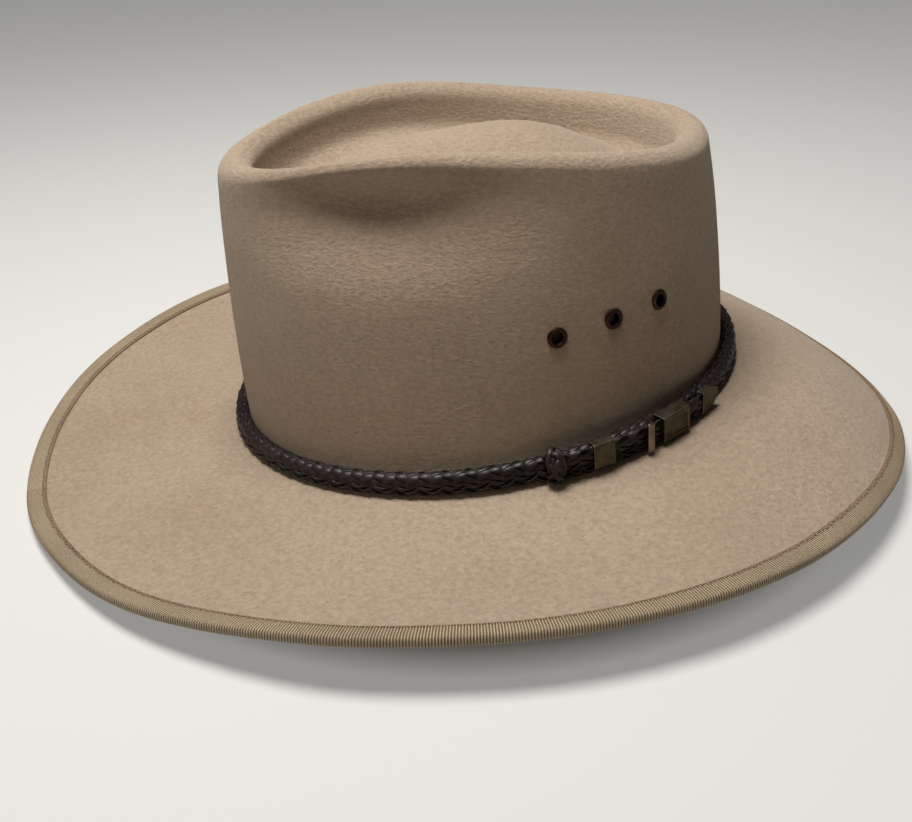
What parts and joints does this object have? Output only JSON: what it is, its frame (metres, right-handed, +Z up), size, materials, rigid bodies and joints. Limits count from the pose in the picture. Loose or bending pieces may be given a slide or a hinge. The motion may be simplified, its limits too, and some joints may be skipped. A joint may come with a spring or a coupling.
{
  "type": "cowboy hat",
  "caption": "Wide-brimmed felt hat with a pinched telescope crown, dipping bound brim, eyelet vents and a plaited leather band closed by a small bronze buckle.",
  "frame": {"origin": "under the middle of the outline, on the level the brim's front and back edges rest on", "axes": "+Z up, -Y the front of the hat, +X the wearer's left"},
  "size_m": [0.3488, 0.3707, 0.1351],
  "materials": {
    "felt": "matt brushed fur felt, sand",
    "ribbon": "ribbed grosgrain ribbon, khaki brown",
    "sweat_leather": "smooth tan leather",
    "reed_cord": "covered cord",
    "bow_ribbon": "satin ribbon",
    "plaited_leather": "dark brown plaited leather, waxed",
    "antique_bronze": "antiqued, worn bright on the edges",
    "eyelet_bronze": "dark bronze"
  },
  "bodies": {
    "hat": {"felt_body": "felt", "brim_binding": "ribbon", "sweatband": "sweat_leather", "sweatband_reed": "reed_cord", "sweatband_bow": "bow_ribbon", "hat_band": "plaited_leather", "buckle_strap": "plaited_leather", "band_knot": "plaited_leather", "buckle_chape": "plaited_leather", "plate_keeper": "antique_bronze", "strap_tip": "antique_bronze", "eyelet_left_front": "eyelet_bronze", "eyelet_left_middle": "eyelet_bronze", "eyelet_left_rear": "eyelet_bronze", "eyelet_right_front": "eyelet_bronze", "eyelet_right_middle": "eyelet_bronze", "eyelet_right_rear": "eyelet_bronze"},
    "keeper": {"band_keeper": "antique_bronze"},
    "buckle": {"buckle_frame": "antique_bronze"},
    "prong": {"buckle_prong": "antique_bronze"}
  },
  "joints": [
    {"name": "keeper_slide", "type": "slide", "parent": "hat", "child": "keeper", "axis": [-0.0698, 0.9936, 0.0886], "range_m": [-0.005, 0.005]},
    {"name": "buckle_hinge", "type": "hinge", "parent": "hat", "child": "buckle", "pos_m": [0.08976, 0.04172, 0.03072], "axis": [0.0227, -0.0858, 0.9961], "range_deg": [0, 45]},
    {"name": "prong_hinge", "type": "hinge", "parent": "hat", "child": "prong", "pos_m": [0.08976, 0.04172, 0.03072], "axis": [0.0227, -0.0858, 0.9961], "range_deg": [0, 40]}
  ]
}
